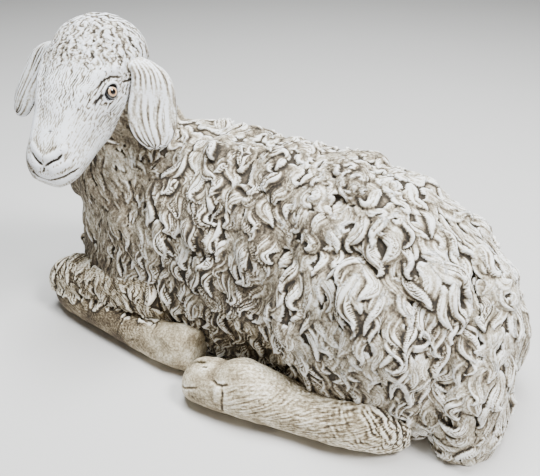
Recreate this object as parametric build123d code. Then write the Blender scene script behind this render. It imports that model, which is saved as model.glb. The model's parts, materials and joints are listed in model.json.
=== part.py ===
"""A lying sheep, cast in stone mix as a garden and mantel ornament.

The figure is hollow and is made of separate castings that are bonded together: the body with its
neck and thighs, the head on a dowel, two ears, two glass eyes, four legs, the tail and the plug
that closes the hole under the body. All lengths are in millimetres.

The tail is at +X, the head at -X, +Z is up, and the sheep looks to its left, towards -Y. The
origin is on the ground, under the middle of the figure.
"""
from build123d import *
import os
from math import cos, pi, radians, sin

# Driving sizes of the trunk, with its fleece.
trunk_length = 328.0
trunk_width = 124.0
back_height = 156.0
casting_wall = 9.0
ground_cut = 60.0

# Driving sizes of the neck, which leans out to the left and a little ahead.
neck_width = 112.0
neck_depth = 110.0
neck_top_height = 200.0
neck_lean = 28.0
neck_forward = 10.0
neck_solid_height = 48.0

# Driving sizes of the thighs, one on each side.
thigh_length = 128.0
thigh_height = 120.0
thigh_thickness = 52.0

# Driving sizes of the head. The turn is from straight ahead and the tilt is below the horizon.
head_length = 116.0
head_width = 72.0
head_depth = 62.0
head_height = 202.0
head_forward = 6.0
head_out = 8.0
head_turn = 95.7
head_tilt = 38.5

# Driving sizes of the ears. Each one falls, flares away from the head and sweeps ahead, and the
# right one stands out more, because the neck bulges under it.
ear_width = 29.0
ear_thickness = 11.0
left_ear_fall = 56.0
left_ear_flare = 28.0
left_ear_sweep = 12.0
right_ear_fall = 52.0
right_ear_flare = 32.0
right_ear_sweep = 18.0

# Driving sizes of the eyes.
eye_diameter = 9.0

# Driving sizes of a folded foreleg: the woolly forearm, and the bare shin with its hoof below it.
forearm_length = 114.0
forearm_height = 44.0
forearm_width = 40.0
shin_length = 148.0
shin_height = 32.0
shin_width = 31.0

# Driving sizes of a hind leg, from the hock to the hoof.
hind_length = 150.0
hind_height = 40.0
hind_width = 34.0
cleft_width = 2.4
cleft_depth = 15.0

# Driving sizes of the tail.
tail_height = 112.0
tail_width = 76.0
tail_thickness = 44.0

# Driving sizes of the main locks of the fleece, and their least gap to the castings beside them.
lock_spacing = 32.0
lock_length = 38.0
lock_width = 23.0
lock_height = 4.6
lock_depth = 6.0
lock_bend = 5.0
lock_gap = 1.0

# The hole under the body, its plug, and the dowel that holds the head.
floor_thickness = 9.0
hole_length = 96.0
hole_width = 44.0
ledge_width = 5.0
ledge_depth = 4.0
plug_clearance = 0.3
dowel_diameter = 8.0
dowel_length = 56.0
dowel_clearance = 0.25

half_trunk = trunk_width / 2
up = Vector(0, 0, 1)
ahead = Vector(-1, 0, 0)
left = Vector(0, -1, 0)


def outline(centre, side, rise_way, half_width, rise, drop):
    """A closed outline of two half ellipses that meet at the widest level."""
    plane = Plane(origin=centre, x_dir=side, z_dir=side.cross(rise_way))
    upper = EllipticalCenterArc((0, 0), half_width, rise, 0, arc_size=180)
    lower = EllipticalCenterArc((0, 0), half_width, drop, 180, arc_size=180)
    return plane * make_face(upper + lower)


def cut_ground(solid):
    """Takes away what lies below the ground."""
    size = solid.bounding_box().size
    reach = 2 * (size.X + size.Y + trunk_length)
    block = Box(reach, reach, ground_cut + size.Z, align=(Align.CENTER, Align.CENTER, Align.MAX))
    return solid - block


def largest(shape):
    """The main solid of a cut, without its crumbs."""
    return sorted(shape.solids(), key=lambda solid: solid.volume)[-1]


def mirrored(solid):
    """The same piece for the right side."""
    return mirror(solid, about=Plane.XZ)


# The trunk: stations from the chest to the rump, each with its place along, the level of its
# widest part, its half width, its rise to the back and its drop, which runs on below the ground.
middle_share = 0.49
trunk_station_shares = [
    (0.003, 0.37, 0.32, 0.15, 0.19),
    (0.034, 0.38, 0.61, 0.29, 0.32),
    (0.088, 0.40, 0.84, 0.42, 0.46),
    (0.186, 0.41, 0.97, 0.54, 0.62),
    (0.308, 0.41, 1.00, 0.58, 0.68),
    (0.445, 0.41, 1.00, 0.59, 0.70),
    (0.582, 0.41, 1.00, 0.60, 0.70),
    (0.720, 0.40, 1.00, 0.575, 0.68),
    (0.826, 0.385, 0.97, 0.485, 0.60),
    (0.905, 0.36, 0.84, 0.37, 0.56),
    (0.966, 0.32, 0.61, 0.23, 0.46),
    (0.997, 0.29, 0.32, 0.115, 0.36),
]


def trunk_x(along_share):
    """The place of a share of the trunk's length, from the chest."""
    return (along_share - middle_share) * trunk_length


def trunk(inset):
    """The trunk's form, or its hollow when inset is the wall."""
    faces = []
    for along, level, width, rise, drop in trunk_station_shares:
        centre = Vector(trunk_x(along) * (1 - 2 * inset / trunk_length), 0, level * back_height)
        faces.append(outline(centre, left, up, width * (half_trunk - inset),
                             rise * (back_height - inset), drop * (back_height - inset)))
    return loft(faces)


# The neck: level stations from inside the trunk to inside the head, each with its share of the
# rise, of the way ahead and of the lean, its half width, and its reach to the rear and the front.
neck_base_share = 0.16
neck_base_level_share = 0.18
neck_station_shares = [
    (0.00, 0.00, 0.00, 0.72, 0.72, 0.66),
    (0.22, 0.00, 0.14, 1.00, 0.74, 1.10),
    (0.41, 0.40, 0.22, 0.90, 0.76, 1.10),
    (0.60, 0.80, 0.43, 0.78, 0.66, 0.95),
    (0.76, 1.00, 0.72, 0.65, 0.58, 0.70),
    (0.88, 1.00, 0.93, 0.55, 0.55, 0.60),
    (0.96, 1.00, 1.00, 0.42, 0.42, 0.45),
    (1.00, 1.00, 1.00, 0.22, 0.22, 0.24),
]
neck_base = Vector(trunk_x(neck_base_share), 0, neck_base_level_share * back_height)
neck_rise = neck_top_height - neck_base.Z
neck_top = neck_base + up * neck_rise + ahead * neck_forward + left * neck_lean


def neck(inset):
    """The neck's form, or its hollow when inset is the wall."""
    faces = []
    for rise, forward, lean, width, rear, front in neck_station_shares:
        centre = (neck_base + up * (rise * neck_rise) + ahead * (forward * neck_forward)
                  + left * (lean * neck_lean))
        faces.append(outline(centre, left, -ahead, width * (neck_width / 2 - inset),
                             rear * (neck_depth / 2 - inset), front * (neck_depth / 2 - inset)))
    return loft(faces)


# A thigh: upright stations from the stifle to the hock, each with its place along, how far its
# middle stands out, its level, its half thickness, its rise and its drop.
thigh_front_share = 0.52
thigh_station_shares = [
    (0.00, 0.71, 0.55, 0.30, 0.17, 0.20),
    (0.08, 0.74, 0.55, 0.70, 0.30, 0.33),
    (0.28, 0.81, 0.55, 0.92, 0.42, 0.45),
    (0.55, 0.81, 0.52, 1.00, 0.48, 0.52),
    (0.77, 0.74, 0.45, 0.92, 0.42, 0.46),
    (0.92, 0.68, 0.37, 0.70, 0.28, 0.37),
    (1.00, 0.65, 0.32, 0.30, 0.13, 0.17),
]


def thigh():
    faces = []
    for along, out, level, thickness, rise, drop in thigh_station_shares:
        centre = (Vector(trunk_x(thigh_front_share) + along * thigh_length, 0, level * thigh_height)
                  + left * (out * half_trunk))
        faces.append(outline(centre, left, up, thickness * thigh_thickness / 2,
                             rise * thigh_height, drop * thigh_height))
    return loft(faces)


# The head: its middle is over the top of the neck, and its axis runs to the muzzle. Stations
# across that axis have a place along it, an offset towards the crown, a half width, a rise to the
# crown or nose line and a drop to the jaw.
head_middle = Vector(neck_top.X, neck_top.Y, head_height) + ahead * head_forward + left * head_out
heading = (ahead * cos(radians(head_turn)) + left * sin(radians(head_turn))).normalized()
muzzle_way = (heading * cos(radians(head_tilt)) - up * sin(radians(head_tilt))).normalized()
head_left = up.cross(muzzle_way).normalized()
crown_way = muzzle_way.cross(head_left).normalized()
head_middle_share = 0.275
head_station_shares = [
    (0.000, 0.000, 0.33, 0.15, 0.16),
    (0.045, 0.000, 0.62, 0.28, 0.34),
    (0.150, 0.020, 0.84, 0.37, 0.47),
    (0.290, 0.050, 0.88, 0.365, 0.52),
    (0.425, 0.060, 0.84, 0.34, 0.57),
    (0.575, 0.030, 0.74, 0.33, 0.52),
    (0.730, -0.020, 0.63, 0.285, 0.37),
    (0.865, -0.050, 0.56, 0.26, 0.27),
    (0.950, -0.065, 0.44, 0.20, 0.20),
    (1.000, -0.080, 0.26, 0.12, 0.12),
]


def head_point(along_share, left_share, crown_share):
    """A point by its shares of the head's length, half width and depth."""
    return (head_middle + muzzle_way * ((along_share - head_middle_share) * head_length)
            + head_left * (left_share * head_width / 2) + crown_way * (crown_share * head_depth))


def head():
    faces = []
    for along, offset, width, rise, drop in head_station_shares:
        faces.append(outline(head_point(along, 0, offset), head_left, crown_way,
                             width * head_width / 2, rise * head_depth, drop * head_depth))
    return loft(faces)


# An ear: level stations from its root down to its tip, each with its share of the fall, of the
# flare and of the sweep, a half width and a half thickness. The turn is that of the outer face,
# from straight out towards the muzzle.
left_ear_root_shares = (0.21, 0.66, 0.15)
left_ear_turn = 45.0
left_ear_station_shares = [
    (0.00, -0.20, 0.00, 0.40, 0.80),
    (0.10, 0.30, -0.04, 0.52, 1.00),
    (0.31, 0.67, 0.04, 0.82, 1.00),
    (0.52, 0.72, 0.31, 1.00, 0.92),
    (0.72, 0.79, 0.67, 1.03, 0.80),
    (0.90, 0.90, 0.92, 0.78, 0.56),
    (1.00, 0.94, 1.00, 0.32, 0.30),
]
right_ear_root_shares = (0.20, 0.66, 0.21)
right_ear_turn = 65.0
right_ear_station_shares = [
    (0.00, -0.20, 0.00, 0.44, 0.80),
    (0.12, 0.30, 0.00, 0.64, 1.00),
    (0.36, 0.68, 0.08, 0.92, 1.00),
    (0.58, 0.86, 0.33, 1.00, 0.92),
    (0.80, 0.98, 0.67, 0.96, 0.80),
    (0.94, 1.00, 0.92, 0.70, 0.56),
    (1.00, 1.00, 1.00, 0.30, 0.30),
]


def ear(side, root_shares, turn, fall, flare, sweep, rows):
    """One ear, with side 1 on the sheep's left and -1 on its right."""
    along, beside, above = root_shares
    root = head_point(along, side * beside, above)
    out = head_left * side
    face_way = (out * cos(radians(turn)) + heading * sin(radians(turn))).normalized()
    edge_way = up.cross(face_way).normalized()
    faces = []
    for fall_share, flare_share, sweep_share, width, thickness in rows:
        centre = (root - up * (fall_share * fall) + out * (flare_share * flare)
                  + heading * (sweep_share * sweep))
        faces.append(outline(centre, edge_way, face_way, width * ear_width / 2,
                             thickness * ear_thickness / 2, thickness * ear_thickness / 2))
    return loft(faces)


def left_ear():
    return ear(1, left_ear_root_shares, left_ear_turn, left_ear_fall, left_ear_flare, left_ear_sweep,
               left_ear_station_shares)


def right_ear():
    return ear(-1, right_ear_root_shares, right_ear_turn, right_ear_fall, right_ear_flare, right_ear_sweep,
               right_ear_station_shares)


# An eye: a glass ball that is set into the side of the head.
eye_along_share = 0.462
eye_left_share = 0.735
eye_crown_share = 0.125


def eye(side):
    """One glass eye, whose seam is turned into its socket."""
    centre = head_point(eye_along_share, side * eye_left_share, eye_crown_share)
    return Plane(origin=centre, x_dir=head_left * -side, z_dir=crown_way) * Sphere(eye_diameter / 2)


# A foreleg: the forearm runs forward from the elbow to the knee, and the shin runs back under it
# to the hoof. Stations have a place along, how far out they stand, a level, a half width, a rise
# and a drop.
elbow_share = 0.28
foreleg_out_share = 0.90
forearm_station_shares = [
    (0.00, 0.82, 0.95, 1.00, 0.50, 0.55),
    (0.36, 0.90, 0.86, 1.00, 0.46, 0.50),
    (0.66, 0.97, 0.77, 0.90, 0.41, 0.46),
    (0.89, 1.00, 0.68, 0.75, 0.32, 0.40),
    (1.00, 1.00, 0.60, 0.44, 0.18, 0.26),
]
shin_station_shares = [
    (0.00, 1.00, 0.56, 0.50, 0.31, 0.38),
    (0.07, 1.04, 0.50, 0.90, 0.44, 0.50),
    (0.28, 1.13, 0.44, 0.97, 0.44, 0.45),
    (0.56, 1.21, 0.41, 0.90, 0.41, 0.42),
    (0.80, 1.26, 0.47, 0.97, 0.47, 0.48),
    (0.93, 1.24, 0.53, 1.03, 0.53, 0.54),
    (1.00, 1.22, 0.50, 0.92, 0.50, 0.51),
]


def leg_form(start_x, way, length, width, height, out_scale, rows):
    faces = []
    for along, out, level, half, rise, drop in rows:
        centre = Vector(start_x, 0, level * height) + way * (along * length) + left * (out * out_scale)
        faces.append(outline(centre, left, up, half * width / 2, rise * height, drop * height))
    return loft(faces)


def foreleg():
    elbow_x = trunk_x(elbow_share)
    out = foreleg_out_share * half_trunk
    knee_x = elbow_x - forearm_length
    forearm = leg_form(elbow_x, ahead, forearm_length, forearm_width, forearm_height, out,
                       forearm_station_shares)
    shin = leg_form(knee_x, -ahead, shin_length, shin_width, shin_height, out, shin_station_shares)
    return forearm + shin


# A hind leg: from the hoof, which points ahead, back to the hock under the thigh.
hind_out_share = 1.40
hock_share = 0.862
hind_station_shares = [
    (0.000, 1.00, 0.30, 0.59, 0.25, 0.30),
    (0.065, 1.01, 0.37, 0.94, 0.40, 0.38),
    (0.185, 1.00, 0.45, 1.00, 0.47, 0.46),
    (0.285, 0.98, 0.50, 1.00, 0.50, 0.51),
    (0.455, 0.93, 0.47, 0.94, 0.43, 0.48),
    (0.685, 0.87, 0.45, 0.88, 0.40, 0.46),
    (0.855, 0.79, 0.50, 0.94, 0.50, 0.51),
    (0.945, 0.72, 0.45, 0.82, 0.35, 0.46),
    (1.000, 0.67, 0.35, 0.47, 0.20, 0.26),
]


def hind_leg():
    start_x = trunk_x(hock_share) - hind_length
    out = hind_out_share * half_trunk
    leg = leg_form(start_x, -ahead, hind_length, hind_width, hind_height, out, hind_station_shares)
    cleft_middle = Vector(start_x, 0, 0) + left * (hind_station_shares[0][1] * out)
    return leg - Pos(cleft_middle) * Box(2 * cleft_depth, cleft_width, 3 * hind_height)


# The tail: stations from its root on the rump down to the ground, each with its place behind
# the chest, how far it leans left, its level, a half width, and its reach outwards and inwards.
tail_station_shares = [
    (0.865, 0.00, 1.06, 0.32, 0.22, 0.30),
    (0.905, 0.05, 0.90, 0.60, 0.38, 0.40),
    (0.925, 0.13, 0.70, 0.82, 0.46, 0.50),
    (0.932, 0.23, 0.48, 0.96, 0.50, 0.55),
    (0.936, 0.31, 0.26, 1.00, 0.54, 0.55),
    (0.940, 0.36, 0.08, 0.96, 0.54, 0.50),
    (0.936, 0.40, -0.10, 0.74, 0.44, 0.40),
]


def tail():
    middles = [Vector(trunk_x(back), 0, level * tail_height) + left * (lean * half_trunk)
               for back, lean, level, width, outer, inner in tail_station_shares]
    faces = []
    for i, (back, lean, level, width, outer, inner) in enumerate(tail_station_shares):
        along = (middles[min(i + 1, len(middles) - 1)] - middles[max(i - 1, 0)]).normalized()
        side = Vector(1, 0, 0).cross(along).normalized()
        rear = along.cross(side).normalized()
        faces.append(outline(middles[i], side, rear, width * tail_width / 2,
                             outer * tail_thickness, inner * tail_thickness))
    return loft(faces)


# A main lock of the fleece: stations from its root to its tip, each with its place along, its bend
# to one side, how far it stands out, a half width, a rise and a drop.
lock_station_shares = [
    (0.00, 0.00, -0.60, 0.34, 0.50, 0.55),
    (0.22, 0.50, -0.15, 0.84, 0.75, 0.85),
    (0.52, 1.00, 0.00, 1.00, 1.00, 1.00),
    (0.80, 0.60, 0.10, 0.66, 0.85, 1.00),
    (1.00, -0.20, -0.05, 0.22, 0.50, 0.90),
]
lock_probe_shares = (-0.3, 0.05, 0.4)
lock_rearward_share = 0.45
crowding_share = 0.72
fan_level_share = 0.38
fan_start_share = 0.55
fan_lean = 68.0
neck_fan_shares = (0.60, 0.78)


def lock(bend):
    """A lock that lies on the XY plane and hangs along +X, bent to the side of the sign."""
    faces = []
    for along, aside, stand, width, rise, drop in lock_station_shares:
        centre = Vector((along - 1 / 2) * lock_length, aside * bend, stand * lock_height)
        faces.append(outline(centre, -left, up, width * lock_width / 2, rise * lock_height,
                             drop * lock_depth))
    return loft(faces)


def lock_rays():
    """The starts and ways of the rays that mark the locks: fans round the trunk, then round the neck.

    The fans of the trunk start near its middle and lean more and more towards its ends.
    """
    rays = []
    rows = round(trunk_length / lock_spacing)
    turns = round(pi * (half_trunk + back_height) / 2 / lock_spacing)
    for row in range(rows + 1):
        end_share = 2 * row / rows - 1
        start = Vector(trunk_x((1 + end_share * fan_start_share) / 2), 0, fan_level_share * back_height)
        lean = radians(fan_lean * end_share)
        for turn in range(2 * turns):
            angle = pi * (turn + row % 2 / 2) / turns
            around = -left * cos(angle) + up * sin(angle)
            rays.append((start, around * cos(lean) - ahead * sin(lean)))
    turns = round(pi * neck_width / lock_spacing)
    for row, level in enumerate(neck_fan_shares):
        start = neck_base + (neck_top - neck_base) * level
        for turn in range(turns):
            angle = 2 * pi * (turn + row % 2 / 2) / turns
            rays.append((start, ahead * cos(angle) + left * sin(angle)))
    return rays


def inside(box, place, reach):
    """Whether a place is within reach of a box."""
    low, high = box.min, box.max
    return (low.X - reach < place.X < high.X + reach and low.Y - reach < place.Y < high.Y + reach
            and low.Z - reach < place.Z < high.Z + reach)


def is_free(place, flow, places, neighbours):
    """Whether a lock is clear of the ground, of the other locks and of the castings beside it.

    Each neighbour comes with its box.
    """
    reach = lock_width / 2 + lock_gap
    if any((place - other).length < crowding_share * lock_spacing for other in places):
        return False
    for share in lock_probe_shares:
        probe = place + flow * (share * lock_length)
        if probe.Z < reach:
            return False
        for neighbour, box in neighbours:
            if inside(box, probe, reach) and neighbour.distance_to(probe) < reach:
                return False
    return True


def fleece_locks(form, neighbours):
    """The main locks on a form, in staggered rows."""
    locks = []
    places = []
    boxed = [(neighbour, neighbour.bounding_box()) for neighbour in neighbours]
    for start, way in lock_rays():
        hits = form.find_intersection_points(Axis(start, way))
        place, normal = max(hits, key=lambda hit: (hit[0] - start).dot(way))
        if normal.dot(way) < 0:
            normal = -normal
        flow = -up - ahead * lock_rearward_share
        flow = (flow - normal * flow.dot(normal)).normalized()
        if is_free(place, flow, places, boxed):
            bend = lock_bend if len(places) % 2 else -lock_bend
            places.append(place)
            locks.append((Plane(origin=place, x_dir=flow, z_dir=normal) * lock(bend)).solid())
    return locks


# The dowel stands in the solid top of the neck and reaches into the head.
dowel_below_share = 0.16
dowel_middle = neck_top - up * (dowel_below_share * dowel_length)


def dowel(clearance):
    """The dowel, or its bore when there is a clearance."""
    return Pos(dowel_middle) * Cylinder(dowel_diameter / 2 + clearance, dowel_length + 2 * clearance)


# The hole under the body, with a ledge that the plug seats on.
def slot(length, width, height):
    return extrude(SlotOverall(length, width), amount=height)


def hole():
    wide = slot(hole_length + 2 * ledge_width, hole_width + 2 * ledge_width, ledge_depth)
    return wide + slot(hole_length, hole_width, 2 * floor_thickness)


def plug():
    length = hole_length - 2 * plug_clearance
    width = hole_width - 2 * plug_clearance
    wide = slot(length + 2 * ledge_width, width + 2 * ledge_width, ledge_depth)
    return wide + slot(length, width, floor_thickness)


def build():
    """Every piece by the name of its node, before the figure is set over its middle."""
    body_form = trunk(0) + neck(0) + thigh() + mirrored(thigh())
    body_form = largest(cut_ground(body_form))
    head_form = head()
    eyes = {"left_eye": eye(1), "right_eye": eye(-1)}
    head_casting = head_form - body_form - dowel(dowel_clearance)
    for ball in eyes.values():
        head_casting = head_casting - ball

    left_foreleg = largest(cut_ground(foreleg()) - body_form)
    left_hind_leg = largest(cut_ground(hind_leg()) - body_form)
    solids = {
        "head": head_casting,
        "left_ear": left_ear() - head_form - body_form,
        "right_ear": right_ear() - head_form - body_form,
        "left_foreleg": left_foreleg,
        "right_foreleg": mirrored(left_foreleg),
        "left_hind_leg": left_hind_leg,
        "right_hind_leg": mirrored(left_hind_leg),
        "tail": cut_ground(tail()) - body_form,
    }
    solids = {name: largest(solid) for name, solid in solids.items()}

    reach = 2 * (trunk_length + trunk_width)
    floor_block = Box(reach, reach, ground_cut + back_height, align=(Align.CENTER, Align.CENTER, Align.MAX))
    solid_neck = Box(reach, reach, neck_top_height, align=(Align.CENTER, Align.CENTER, Align.MIN))
    hollow_neck = neck(casting_wall) - Pos(0, 0, neck_top_height - neck_solid_height) * solid_neck
    cavity = trunk(casting_wall) + hollow_neck - Pos(0, 0, floor_thickness) * floor_block
    shell = largest(body_form - cavity - hole() - dowel(dowel_clearance))
    solids["body"] = largest(shell.fuse(*fleece_locks(body_form, solids.values())))
    solids["neck_dowel"] = dowel(0)
    solids["base_plug"] = plug()
    solids.update(eyes)
    return solids


def main():
    os.makedirs("parts", exist_ok=True)
    solids = build()
    boxes = [solid.bounding_box() for solid in solids.values()]
    middle_x = (min(box.min.X for box in boxes) + max(box.max.X for box in boxes)) / 2
    middle_y = (min(box.min.Y for box in boxes) + max(box.max.Y for box in boxes)) / 2
    for name, solid in solids.items():
        export_step(Pos(-middle_x, -middle_y) * solid, f"parts/{name}.step")


main()
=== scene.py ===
import bpy
import json
import math
import numpy as np
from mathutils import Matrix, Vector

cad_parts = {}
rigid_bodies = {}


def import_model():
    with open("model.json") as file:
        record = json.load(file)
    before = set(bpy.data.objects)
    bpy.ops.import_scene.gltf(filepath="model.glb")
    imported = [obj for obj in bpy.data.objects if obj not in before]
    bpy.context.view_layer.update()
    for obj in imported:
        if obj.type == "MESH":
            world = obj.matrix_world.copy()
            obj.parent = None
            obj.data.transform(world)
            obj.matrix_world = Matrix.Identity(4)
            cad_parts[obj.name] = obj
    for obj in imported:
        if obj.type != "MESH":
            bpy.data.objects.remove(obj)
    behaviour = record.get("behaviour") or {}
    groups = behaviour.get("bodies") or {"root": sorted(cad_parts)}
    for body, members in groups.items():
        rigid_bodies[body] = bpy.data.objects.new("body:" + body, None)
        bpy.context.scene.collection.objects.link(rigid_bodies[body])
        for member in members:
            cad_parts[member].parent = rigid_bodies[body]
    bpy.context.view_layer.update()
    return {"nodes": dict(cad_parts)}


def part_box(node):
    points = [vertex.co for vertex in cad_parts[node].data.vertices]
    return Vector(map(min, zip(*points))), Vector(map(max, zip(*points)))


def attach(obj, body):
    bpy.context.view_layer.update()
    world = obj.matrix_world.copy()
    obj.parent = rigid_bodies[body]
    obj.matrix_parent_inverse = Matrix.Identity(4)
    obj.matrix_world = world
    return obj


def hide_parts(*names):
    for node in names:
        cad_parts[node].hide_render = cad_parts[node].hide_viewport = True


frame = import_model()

# The view: a phone held above the figure's left side, looking down past its shoulder. The figure
# lies with its tail at +X and looks out to its left, towards -Y.
bpy.ops.object.select_all(action="DESELECT")
bpy.ops.object.camera_add(
    location=(0.1798, -0.318, 0.321), rotation=(math.radians(57), 0, math.radians(30)))
camera = bpy.context.object
camera.name = "view"
camera.data.lens = 40
camera.data.sensor_width = 36
camera.data.sensor_fit = "HORIZONTAL"
camera.data.clip_start = 0.01
bpy.context.scene.camera = camera

# The body, neck and thighs are one hollow casting of stone mix, with the fleece modelled in the
# mould. The lying wool is cut as overlapping locks, each with a few strands and a lifted tip.
millimetre = 0.001
fleece_grain = 0.78
fleece_rounds = 85
fleece_planes = (-104.0, -22.0, 50.0, 96.0)
fleece_names = ("fleece_neck", "fleece_shoulder", "fleece_flank", "fleece_haunch", "fleece_rump")
pocket_depth = 9.4
pocket_play = 0.4
ground_trim = 0.6
skirt_depth = 5


def pick(piece):
    """Selects one piece alone."""
    if bpy.context.object and bpy.context.object.mode != "OBJECT":
        bpy.ops.object.mode_set(mode="OBJECT")
    bpy.ops.object.select_all(action="DESELECT")
    bpy.context.view_layer.objects.active = piece
    piece.select_set(True)


def new_piece(mesh, name):
    """A piece with a copy of a mesh."""
    piece = bpy.data.objects.new(name, mesh.copy())
    piece.data.name = name
    bpy.context.scene.collection.objects.link(piece)
    return piece


def merged_copy(node, name):
    """A copy of a CAD node's mesh, with its loose triangles joined."""
    piece = new_piece(frame["nodes"][node].data, name)
    piece.data.materials.clear()
    pick(piece)
    bpy.ops.object.mode_set(mode="EDIT")
    bpy.ops.mesh.select_all(action="SELECT")
    bpy.ops.mesh.remove_doubles(threshold=1e-6)
    bpy.ops.object.mode_set(mode="OBJECT")
    return piece


def apply(piece, kind, **settings):
    """Adds a modifier and applies it."""
    pick(piece)
    modifier = piece.modifiers.new(kind.lower(), kind)
    for setting, value in settings.items():
        setattr(modifier, setting, value)
    bpy.ops.object.modifier_apply(modifier=modifier.name)


def even_faces(piece, grain):
    """Gives the piece small faces of one size, in millimetres, ready to be carved."""
    apply(piece, "REMESH", mode="VOXEL", voxel_size=grain * millimetre, adaptivity=0)


class Clay:
    """A piece's points in millimetres, while its surface is carved."""

    def __init__(self, piece):
        self.piece = piece
        self.count = len(piece.data.vertices)
        points = np.empty(self.count * 3, dtype=np.float32)
        piece.data.vertices.foreach_get("co", points)
        self.points = points.reshape(-1, 3).astype(float) / millimetre
        ends = np.empty(len(piece.data.edges) * 2, dtype=np.int32)
        piece.data.edges.foreach_get("vertices", ends)
        self.ends = ends.reshape(-1, 2).T
        self.links = np.maximum(np.bincount(ends, minlength=self.count), 1)

    def average(self, values):
        """The mean of each point's neighbours."""
        if values.ndim > 1:
            return np.stack([self.average(column) for column in values.T], axis=1)
        one, other = self.ends
        total = np.bincount(one, values[other], self.count) + np.bincount(other, values[one], self.count)
        return total / self.links

    def relaxed(self, values, rounds, share=0.5):
        """The values after so many rounds of moving towards their neighbours."""
        for _ in range(rounds):
            values = values + share * (self.average(values) - values)
        return values

    def write(self, points=None):
        """Puts the points back in the mesh."""
        points = self.points if points is None else points
        self.piece.data.vertices.foreach_set("co", (points * millimetre).astype(np.float32).ravel())
        self.piece.data.update()

    def normals(self, points=None):
        """Each point's outward direction."""
        self.write(points)
        normals = np.empty(self.count * 3, dtype=np.float32)
        self.piece.data.vertex_normals.foreach_get("vector", normals)
        return normals.reshape(-1, 3).astype(float)

    def keep(self, **values):
        """Stores a number for each point, which the material reads."""
        for name, numbers in values.items():
            attribute = self.piece.data.attributes.new(name, "FLOAT", "POINT")
            attribute.data.foreach_set("value", numbers.astype(np.float32))


def blank(node, name, grain, rounds):
    """A copy of a CAD node with even faces, and its points, relaxed for so many rounds."""
    piece = merged_copy(node, name)
    even_faces(piece, grain)
    clay = Clay(piece)
    clay.points = clay.relaxed(clay.points, rounds)
    return piece, clay


def unit(vectors):
    """The same directions, of length one."""
    return vectors / np.maximum(np.linalg.norm(vectors, axis=-1, keepdims=True), 1e-9)


def smooth_step(low, high, values):
    """Nothing below the first value, one above the second, and a smooth rise between them."""
    share = np.clip((values - low) / (high - low), 0, 1)
    return share * share * (3 - 2 * share)


most_tries = 90000


def scattered(points, gaps, allowed, chance):
    """Picks points at random, each at least its own gap from the others."""
    order = chance.permutation(np.nonzero(allowed)[0])[:most_tries]
    cell = gaps[order].max()
    taken = {}
    chosen = []
    for number in order:
        place = points[number]
        key = tuple((place // cell).astype(int))
        limit = gaps[number] ** 2
        near = (near_point
                for across in (-1, 0, 1) for back in (-1, 0, 1) for rise in (-1, 0, 1)
                for near_point in taken.get((key[0] + across, key[1] + back, key[2] + rise), ()))
        if any(((place - other) ** 2).sum() < limit for other in near):
            continue
        taken.setdefault(key, []).append(place)
        chosen.append(number)
    return np.array(chosen)


class Bins:
    """Points sorted into small cubes, to find those near a place."""

    def __init__(self, points, size):
        self.size = size
        keys = np.floor(points / size).astype(np.int64)
        self.low = keys.min(axis=0)
        self.span = keys.max(axis=0) - self.low + 1
        flat = self.flat(keys)
        self.order = np.argsort(flat, kind="stable")
        self.starts = np.searchsorted(flat[self.order], np.arange(self.span.prod() + 1))

    def flat(self, keys):
        """The number of a cube, counted through all of them."""
        keys = keys - self.low
        return (keys[..., 0] * self.span[1] + keys[..., 1]) * self.span[2] + keys[..., 2]

    def near(self, place, reach):
        """The numbers of the points in the cubes within reach."""
        low = np.maximum(np.floor((place - reach) / self.size).astype(int), self.low)
        high = np.minimum(np.floor((place + reach) / self.size).astype(int), self.low + self.span - 1)
        found = []
        for across in range(low[0], high[0] + 1):
            for back in range(low[1], high[1] + 1):
                first = self.flat(np.array([across, back, low[2]]))
                last = self.flat(np.array([across, back, high[2]]))
                found.append(self.order[self.starts[first]:self.starts[last + 1]])
        return np.concatenate(found) if found else np.empty(0, dtype=int)


def on_left(points):
    """The points, with those of the right side mirrored to the left."""
    flip = np.where(points[:, 1] > 0, -1.0, 1.0)
    same = np.ones_like(flip)
    return points * np.stack([same, flip, same], axis=1)


guide_reach = 16.0


def guided(places, guides, kinds):
    """The lie of the wool at each place, and its kind's sizes, from the nearest guides.

    Guides are given for the left side, and the right side mirrors them.
    """
    rows = np.array([row for kind in guides for row in guides[kind]], dtype=float)
    sizes = np.array([kinds[kind] for kind in guides for _ in guides[kind]])
    seen = on_left(places)
    away = ((seen[:, None, :] - rows[None, :, :3]) ** 2).sum(axis=2)
    pull = np.exp(-(away - away.min(axis=1, keepdims=True)) / (2 * guide_reach ** 2))
    pull /= pull.sum(axis=1, keepdims=True)
    ways = pull @ rows[:, 3:]
    ways[:, 1] *= np.where(places[:, 1] > 0, -1.0, 1.0)
    return unit(ways), pull @ sizes


def lumps(points, size, chance):
    """A soft swell of the size given, from 0 to 1."""
    total = np.zeros(len(points))
    for _ in range(10):
        way = unit(chance.normal(size=3))
        wave = size * chance.uniform(0.8, 1.6)
        total += np.sin(points @ way * 2 * np.pi / wave + chance.uniform(0, 6.3))
    return np.clip(0.5 + total / 9, 0, 1)


lock_steps = 26
lock_groove = 0.52
lock_blend = 1.2
length_range = (0.75, 1.35)
breadth_range = (0.8, 1.75)
rise_range = (0.55, 1.25)
round_curl = 3


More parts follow.
